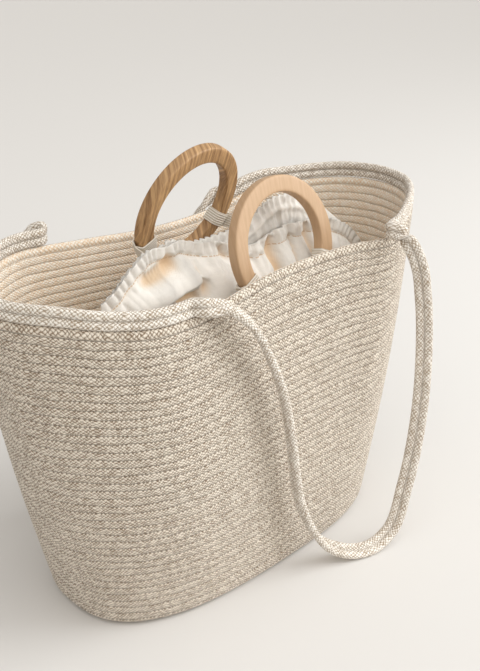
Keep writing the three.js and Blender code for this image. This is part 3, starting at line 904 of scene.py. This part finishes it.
# The frilled edge from its left end to its right, in millimetres: the place along the
# bag, the height and the place across of the front edge, then those of the back edge
EDGE_ROWS = np.array([
    (-137, 298, -5, 298, -5),
    (-120, 308, -4, 305, -2),
    (-105, 317, 0, 312, 3),
    (-91, 324, 3, 318, 7),
    (-81, 329, 4, 323, 9),
    (-70, 331, 5, 325.5, 11),
    (-57, 328.5, 6, 324, 13),
    (-40, 331, 6, 328, 14),
    (-28, 327, 6, 324, 14),
    (-17, 323.5, 4, 321, 13),
    (-1, 322, 0, 320, 12),
    (16, 316, -4, 321, 10),
    (39, 311, -8, 325, 5),
    (55, 315, -9, 333, 2),
    (73, 320, -9, 343, 1),
    (94, 320, -9, 345, 1),
    (110, 318, -9, 342, 1),
    (128, 318, -9, 334, -1),
    (145, 313, -10, 325, -3),
    (160, 307, -11, 312, -7),
    (172, 301, -12, 302, -9),
    (186, 290, -13, 290, -12),
    (200, 274, -15, 274, -15),
])

# Single folds on the front, in millimetres: where each starts and ends along the bag
# and in height, its half width, how far it stands out, which is negative for a hollow,
# and how round it is, from 0.5 for a full roll to 2 for a soft swell
FOLD_ROWS = [
    (-104, 289, -40, 298, 10, 7.0, 0.7),
    (-84, 304, -54, 313, 9, -8.0, 1.0),
    (-70, 280, -30, 289, 8, -7.5, 1.2),
    (-38, 286, -22, 300, 5, 3.0, 1.5),
    (-8, 304, -18, 276, 15, 5.0, 1.5),
    (2, 314, 6, 306, 6, -5.0, 1.5),
    (40, 304, 41, 284, 5, 3.5, 0.8),
    (49, 304, 46, 284, 2.5, 3.0, 0.8),
    (60, 309, 57, 284, 6, -8.0, 0.9),
    (75, 314, 70, 280, 8, 5.5, 0.6),
    (88, 308, 81, 284, 3, -5.0, 0.9),
    (96, 313, 96, 280, 8, 5.5, 0.6),
    (112, 312, 109, 286, 5, -6.5, 1.0),
    (124, 312, 123, 284, 8, 4.0, 0.8),
    (150, 304, 138, 276, 9, -4.0, 1.5),
]
print(len(FOLD_ROWS), "single folds")

# %% [markdown]
# The cloth surface. A gathered edge is a row of small puffs with sharp creases between
# them. A run along the edge and a depth square to it place the puffs and the stitched
# line, so that both turn with the edge. Below the line the puffs join into longer,
# softer waves, as they do on any gathered cloth.

# %% Puffs and folds
PUFF_LENGTH = 8.2
EDGE_STEP = 0.5

# Waves in the cloth, in millimetres: length, depth where one has come to about its full
# height, depth where it has gone again, and height
WAVE_ROWS = [(13, 12, 60, 0.8), (24, 20, 110, 1.4), (41, 30, 160, 2.2)]

edge_along = np.arange(EDGE_ROWS[0, 0], EDGE_ROWS[-1, 0] + EDGE_STEP, EDGE_STEP)
edge_height = spline(EDGE_ROWS[:, 0], EDGE_ROWS[:, 1], edge_along)
edge_slope = np.arctan(np.gradient(edge_height, edge_along))
edge_steps = np.hypot(np.diff(edge_along), np.diff(edge_height))
edge_length = np.concatenate([[0], np.cumsum(edge_steps)])
print("frilled edge", round(edge_length[-1]), "mm long on one side")


def edge_places(along, below):
    """The run along the edge and the depth square to it, of a point below the edge.

    The foot of the square line lies to the side of the point by the depth times the
    sine of the edge's slope.
    """
    slope = np.interp(along, edge_along, edge_slope)
    foot = along - below * np.sin(slope) * np.cos(slope)
    return np.interp(foot, edge_along, edge_length), below * np.cos(slope)


def puffs(run):
    """Rounded ribs of uneven length: 0 in the creases, 1 on top."""
    uneven = run + 2.0 * np.sin(run / 13 + 1) + 1.3 * np.sin(run / 6.1 + 2)
    return np.abs(np.sin(np.pi * uneven / PUFF_LENGTH)) ** 0.6


def fold_relief(along, height):
    """The sum of single folds, each a roll or swell along a straight line."""
    total = 0 * along
    for start_x, start_z, stop_x, stop_z, width, out, roundness in FOLD_ROWS:
        run_x = stop_x - start_x
        run_z = stop_z - start_z
        share = ((along - start_x) * run_x + (height - start_z) * run_z) / (run_x**2 + run_z**2)
        held = np.clip(share, 0, 1)
        away = (along - start_x - held * run_x) ** 2 + (height - start_z - held * run_z) ** 2
        total = total + out * np.clip(1 - away / width**2, 0, 1) ** roundness
    return total


def gathers(along, below, seed):
    """Soft waves below the frill, longer further down."""
    chance = np.random.default_rng(seed)
    total = 0 * along
    for length, near, far, strength in WAVE_ROWS:
        phase = chance.uniform(0, 6.3)
        bend = 0.6 * length * np.sin(along / (2.7 * length) + phase)
        fade = smoothstep((below - near + 10) / 12)
        fade = fade * (1 - smoothstep((below - near) / (far - near)))
        total = total + strength * fade * np.cos(2 * np.pi * (along + bend) / length + phase)
    return total


# %% [markdown]
# The pouch is one surface: its outer side from the floor up to the edge, then its inner
# side down again, with the cloth's thickness between them.

# %% Pouch
POUCH_FLOOR = 6.3
POUCH_COLUMNS = 640
CLOTH = 1.6

# In millimetres: the relief of the puffs in the frill and of the ribs below it, how far
# below the seam the ribs reach, how far the seam draws the cloth in, how far the creases
# cut into the edge, and how far a fold stands out where the waves have gone from it
FRILL_RELIEF = 4.2
RIB_RELIEF = 3.8
RIB_DEPTH = 30
SEAM_PINCH = 1.8
CREASE_DROP = 1.4
CALMING_FOLD = 4

# The share of the ribs that is left on such a fold
RIBS_LEFT = 0.5

# A hollow this deep gets its full painted shade, and this is the share of it
FULL_HOLLOW = 9
HOLLOW_SHARE = 0.95

# Added to the depths on the lining, so that the seam's line shows on the outside only
LINING_DEPTH = 400


def pouch_relief(along, height, run, depth, is_front):
    """How far the cloth stands out from its smooth shape, and its puffs."""
    puff = puffs(run)
    below = depth - FRILL_DEPTH
    frill = FRILL_RELIEF * smoothstep(-below / 4)
    ribs = RIB_RELIEF * smoothstep(below / 3) * (1 - smoothstep(below / RIB_DEPTH))
    pinch = -SEAM_PINCH * np.exp(-(below**2) / 5)
    waves = np.where(is_front, gathers(along, depth, 3), gathers(along, depth, 8))
    folds = np.where(is_front, fold_relief(along, height), 0)
    calm = np.clip(1 - np.abs(folds) / CALMING_FOLD, 0, 1)
    gathered = (frill + ribs * np.maximum(calm, RIBS_LEFT)) * (puff - 0.5)
    return gathered + pinch * calm + waves * calm + folds, puff


def pouch_surface(turn, height, inset):
    """The cloth at a turn round the pouch and a height share, some way inside it."""
    cosine = np.cos(np.radians(turn))
    sine = np.sin(np.radians(turn))
    is_front = sine < 0
    left, right, front, back, squareness, follow = (
        part[:, None] for part in spline(POUCH_ROWS[:, 0], POUCH_ROWS[:, 1:], height).T
    )
    reach_x = np.where(cosine < 0, left, right) * POUCH_HALF_LENGTH - 1.5 * inset
    reach_y = np.where(is_front, front, back) * POUCH_HALF_WIDTH - inset
    along = POUCH_CENTRE_X + reach_x * signed_power(cosine, 2 / squareness)
    held = np.clip(along, EDGE_ROWS[0, 0], EDGE_ROWS[-1, 0])
    edge = spline(EDGE_ROWS[:, 0], EDGE_ROWS[:, 1:], held)
    edge = np.where(is_front[..., None], edge[..., :2], edge[..., 2:])
    top, shift = np.moveaxis(edge, -1, 0)
    up = POUCH_FLOOR + height[:, None] * (POUCH_HEIGHT - POUCH_FLOOR)
    up = up - follow * (POUCH_HEIGHT - top)
    run, depth = edge_places(along, top - up)
    relief, puff = pouch_relief(along, up, run, depth, is_front)
    fade = np.abs(sine) ** 0.5
    across = np.sign(sine) * (reach_y * np.abs(sine) ** (2 / squareness) + relief * fade)
    up = up - CREASE_DROP * (1 - puff) * smoothstep((8 - depth) / 8)
    points = np.stack([along, across + follow * shift, up], axis=-1)
    return points, run, depth, relief


def closed(grid):
    """A grid with its first column once more at its end."""
    return np.concatenate([grid, grid[:, :1]], axis=1)


pouch_turns = np.linspace(0, 360, POUCH_COLUMNS + 1)[:-1]

# More rows stand near the edge, where the puffs and folds are
heights = np.concatenate(
    [
        np.linspace(0, 0.6, 12, endpoint=False),
        np.linspace(0.6, 0.86, 44, endpoint=False),
        np.linspace(0.86, 1, 40),
    ]
)
lining_heights = np.concatenate(
    [np.linspace(1, 0.86, 22, endpoint=False), np.linspace(0.86, 0, 18)]
)
skin = pouch_surface(pouch_turns, heights, 0)
lining = pouch_surface(pouch_turns, lining_heights, CLOTH)
cloth, cloth_run, cloth_depth, relief = (np.concatenate(pair) for pair in zip(skin, lining))
cloth_depth[len(heights):] += LINING_DEPTH
# The painted shade of each hollow grows with its depth
hollow = smoothstep(-relief / FULL_HOLLOW) * HOLLOW_SHARE
cloth_uv = uv_grid(closed(cloth_run), closed(cloth_depth))
pouch = grid_piece("pouch_canvas", cloth, cloth_uv, canvas, (False, True), hollow=hollow)
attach(pouch, "root")
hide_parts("pouch")

# %% [markdown]
# A tab is a loop of ribbed tape. It goes round the ring, and its two ends meet and run
# on to the pouch, where they are sewn under the frill. The tape's flat section is
# carried along that loop, as the band's was.

# %% Webbing material
TAPE_RIB = 2.3
TAPE_LIGHT = (0.88, 0.84, 0.77, 1)
TAPE_VALLEY_SHADE = (0.66, 0.58, 0.47, 1)
TAPE_DEPTH = 0.0005


def webbing_material():
    """Ribbed cotton tape, with its ribs along the tape, on a UV map in millimetres."""
    material, tree, shader = new_material("webbing")
    across = uv_parts(tree)[2]
    ribs = maths(tree, "SINE", scaled(tree, across, 2 * np.pi / TAPE_RIB))
    # The valleys between the ribs are painted darker: painted shade
    share = scaled(tree, ribs, 0.5, 0.5)
    finish_cloth(tree, shader, blend(tree, share, TAPE_VALLEY_SHADE, TAPE_LIGHT), share, TAPE_DEPTH)
    return material


webbing = webbing_material()

# %% [markdown]
# The four tabs are one shape at four places. Only the length of their tails differs,
# because the rings don't stand equally far from the pouch's cloth.

# %% Tabs
TAB_WIDTH = 14
TAB_THICKNESS = 1.6
TAB_SLANT = 0.25
TAB_ANGLES = {"left": -153, "right": -27}
TAB_TAILS = {"front_left": 4, "front_right": 18, "back_left": 30, "back_right": 40}
TAB_GAP = 0.3

# Where the tape's two sides meet below the ring: how far out from it, and half apart
TAB_ROOT_OUT = 3.0
TAB_ROOT_HALF = 0.85

tape_turn = np.radians(np.linspace(0, 360, 33)[:-1] + 5.625)
tape_width = TAB_WIDTH / 2 * signed_power(np.cos(tape_turn), 0.25)
tape_thickness = TAB_THICKNESS / 2 * signed_power(np.sin(tape_turn), 0.6)
tape_section = np.stack([tape_width, tape_thickness], axis=-1)
tape_lines = np.append(tape_width, tape_width[0])
round_ring = np.radians(np.linspace(20, 340, 25))
tape_radius, tape_height = ring_section(round_ring, TAB_GAP + TAB_THICKNESS / 2)
for name, row in RING_ROWS.items():
    for hand, angle in TAB_ANGLES.items():
        label = name + "_" + hand
        sleeve = ring_place(row, angle, tape_radius, tape_height)
        roots = ring_place(
            row, angle, RING_RADIUS + TAB_ROOT_OUT, np.array([TAB_ROOT_HALF, -TAB_ROOT_HALF])
        )
        outward = ring_place(row, angle, 1.0, 0.0) - ring_place(row, angle, 0.0, 0.0)
        towards = np.array([0, -np.sign(roots[0, 1]), 0])
        tail = unit(outward * TAB_SLANT + towards) * TAB_TAILS[label]
        one_end = [roots[0] + tail, roots[0] + tail / 2, roots[0]]
        other_end = [roots[1], roots[1] + tail / 2, roots[1] + tail]
        path = np.concatenate([one_end, sleeve, other_end])
        _, level, upright, _ = ring_axes(row)
        side = -level * np.sin(np.radians(angle)) + upright * np.cos(np.radians(angle))
        strides = np.linalg.norm(np.diff(path, axis=0), axis=-1)
        knots = np.concatenate([[0], np.cumsum(strides)])
        tape_run = np.linspace(0, knots[-1], 120)
        middle = spline(knots, path, tape_run)
        ways = unit(np.gradient(middle, axis=0))
        tape = swept(middle, ways, np.tile(side, (len(middle), 1)), tape_section)
        tape_uv = uv_grid(tape_run[:, None], tape_lines)
        tab = grid_piece("tab_" + label + "_tape", tape, tape_uv, webbing, (False, True))
        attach(tab, "root")
        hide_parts("tab_" + label)

# %% [markdown]
# The bag stands on a pale floor that reaches far back, so that floor and background
# look like one sheet of paper. Daylight comes from all round. The brightest part of it
# is a broad sun from high up in front, and a fainter broad one comes from the right.
# A square light stands near the bag at the right too, like a window.

# %% Floor and light
FLOOR_HALF = 30000
WARM_WHITE = (1.0, 0.98, 0.95)
COOL_WHITE = (0.96, 0.985, 1.0)

corners = np.array([[(-1, -1, 0), (1, -1, 0)], [(-1, 1, 0), (1, 1, 0)]]) * FLOOR_HALF
floor_material, _, floor_shader = new_material("paper")
floor_shader.inputs["Base Color"].default_value = (0.725, 0.709, 0.689, 1)
floor_shader.inputs["Roughness"].default_value = 0.9
floor_shader.inputs["Specular IOR Level"].default_value = 0.1
floor = grid_piece("floor", corners, uv_grid(np.array([0, 1]), np.array([[0], [1]])), floor_material)

world = bpy.data.worlds.new("studio")
bpy.context.scene.world = world
world.use_nodes = True
world.node_tree.nodes["Background"].inputs[0].default_value = (1.0, 0.968, 0.92, 1)
world.node_tree.nodes["Background"].inputs[1].default_value = 0.52


def aimed_light(name, kind, place, target, power, colour):
    """A light at a place, facing a target, in metres and watts, or for a sun its strength."""
    data = bpy.data.lights.new(name, kind)
    data.energy = power
    data.color = colour
    light = bpy.data.objects.new(name, data)
    light.location = place
    light.rotation_euler = (Vector(target) - Vector(place)).to_track_quat("-Z", "Y").to_euler()
    bpy.context.scene.collection.objects.link(light)
    return light


top = aimed_light("top", "SUN", (-0.12, -0.6, 1.0), (0, 0, 0), 1.42, WARM_WHITE)
top.data.angle = np.radians(90)
right = aimed_light("right", "SUN", (0.78, -0.56, 0.62), (0, 0, 0), 0.4, COOL_WHITE)
right.data.angle = np.radians(70)
window = aimed_light("window", "AREA", (1.7, -1.3, 1.2), (0, 0, 0.15), 32, COOL_WHITE)
window.data.shape = "SQUARE"
window.data.size = 1.6
print("sun strengths", top.data.energy, "and", right.data.energy)

# %% [markdown]
# The camera was found by fitting the two rings and the rim to the photograph: the
# rings are true circles of a known size, so their two ovals fix where it stood.

# %% Camera
AZIMUTH = np.radians(-44.15)
RISE = np.radians(25.28)
camera_data = bpy.data.cameras.new("camera")
camera_data.sensor_width = 36
camera_data.lens = 53.22
camera_data.clip_end = 100
camera = bpy.data.objects.new("camera", camera_data)
camera.location = (-0.5922, -0.6446, 0.6362)
camera.rotation_euler = (np.pi / 2 - RISE, 0, AZIMUTH)
bpy.context.scene.collection.objects.link(camera)
bpy.context.scene.camera = camera
bpy.context.scene.view_settings.view_transform = "Standard"
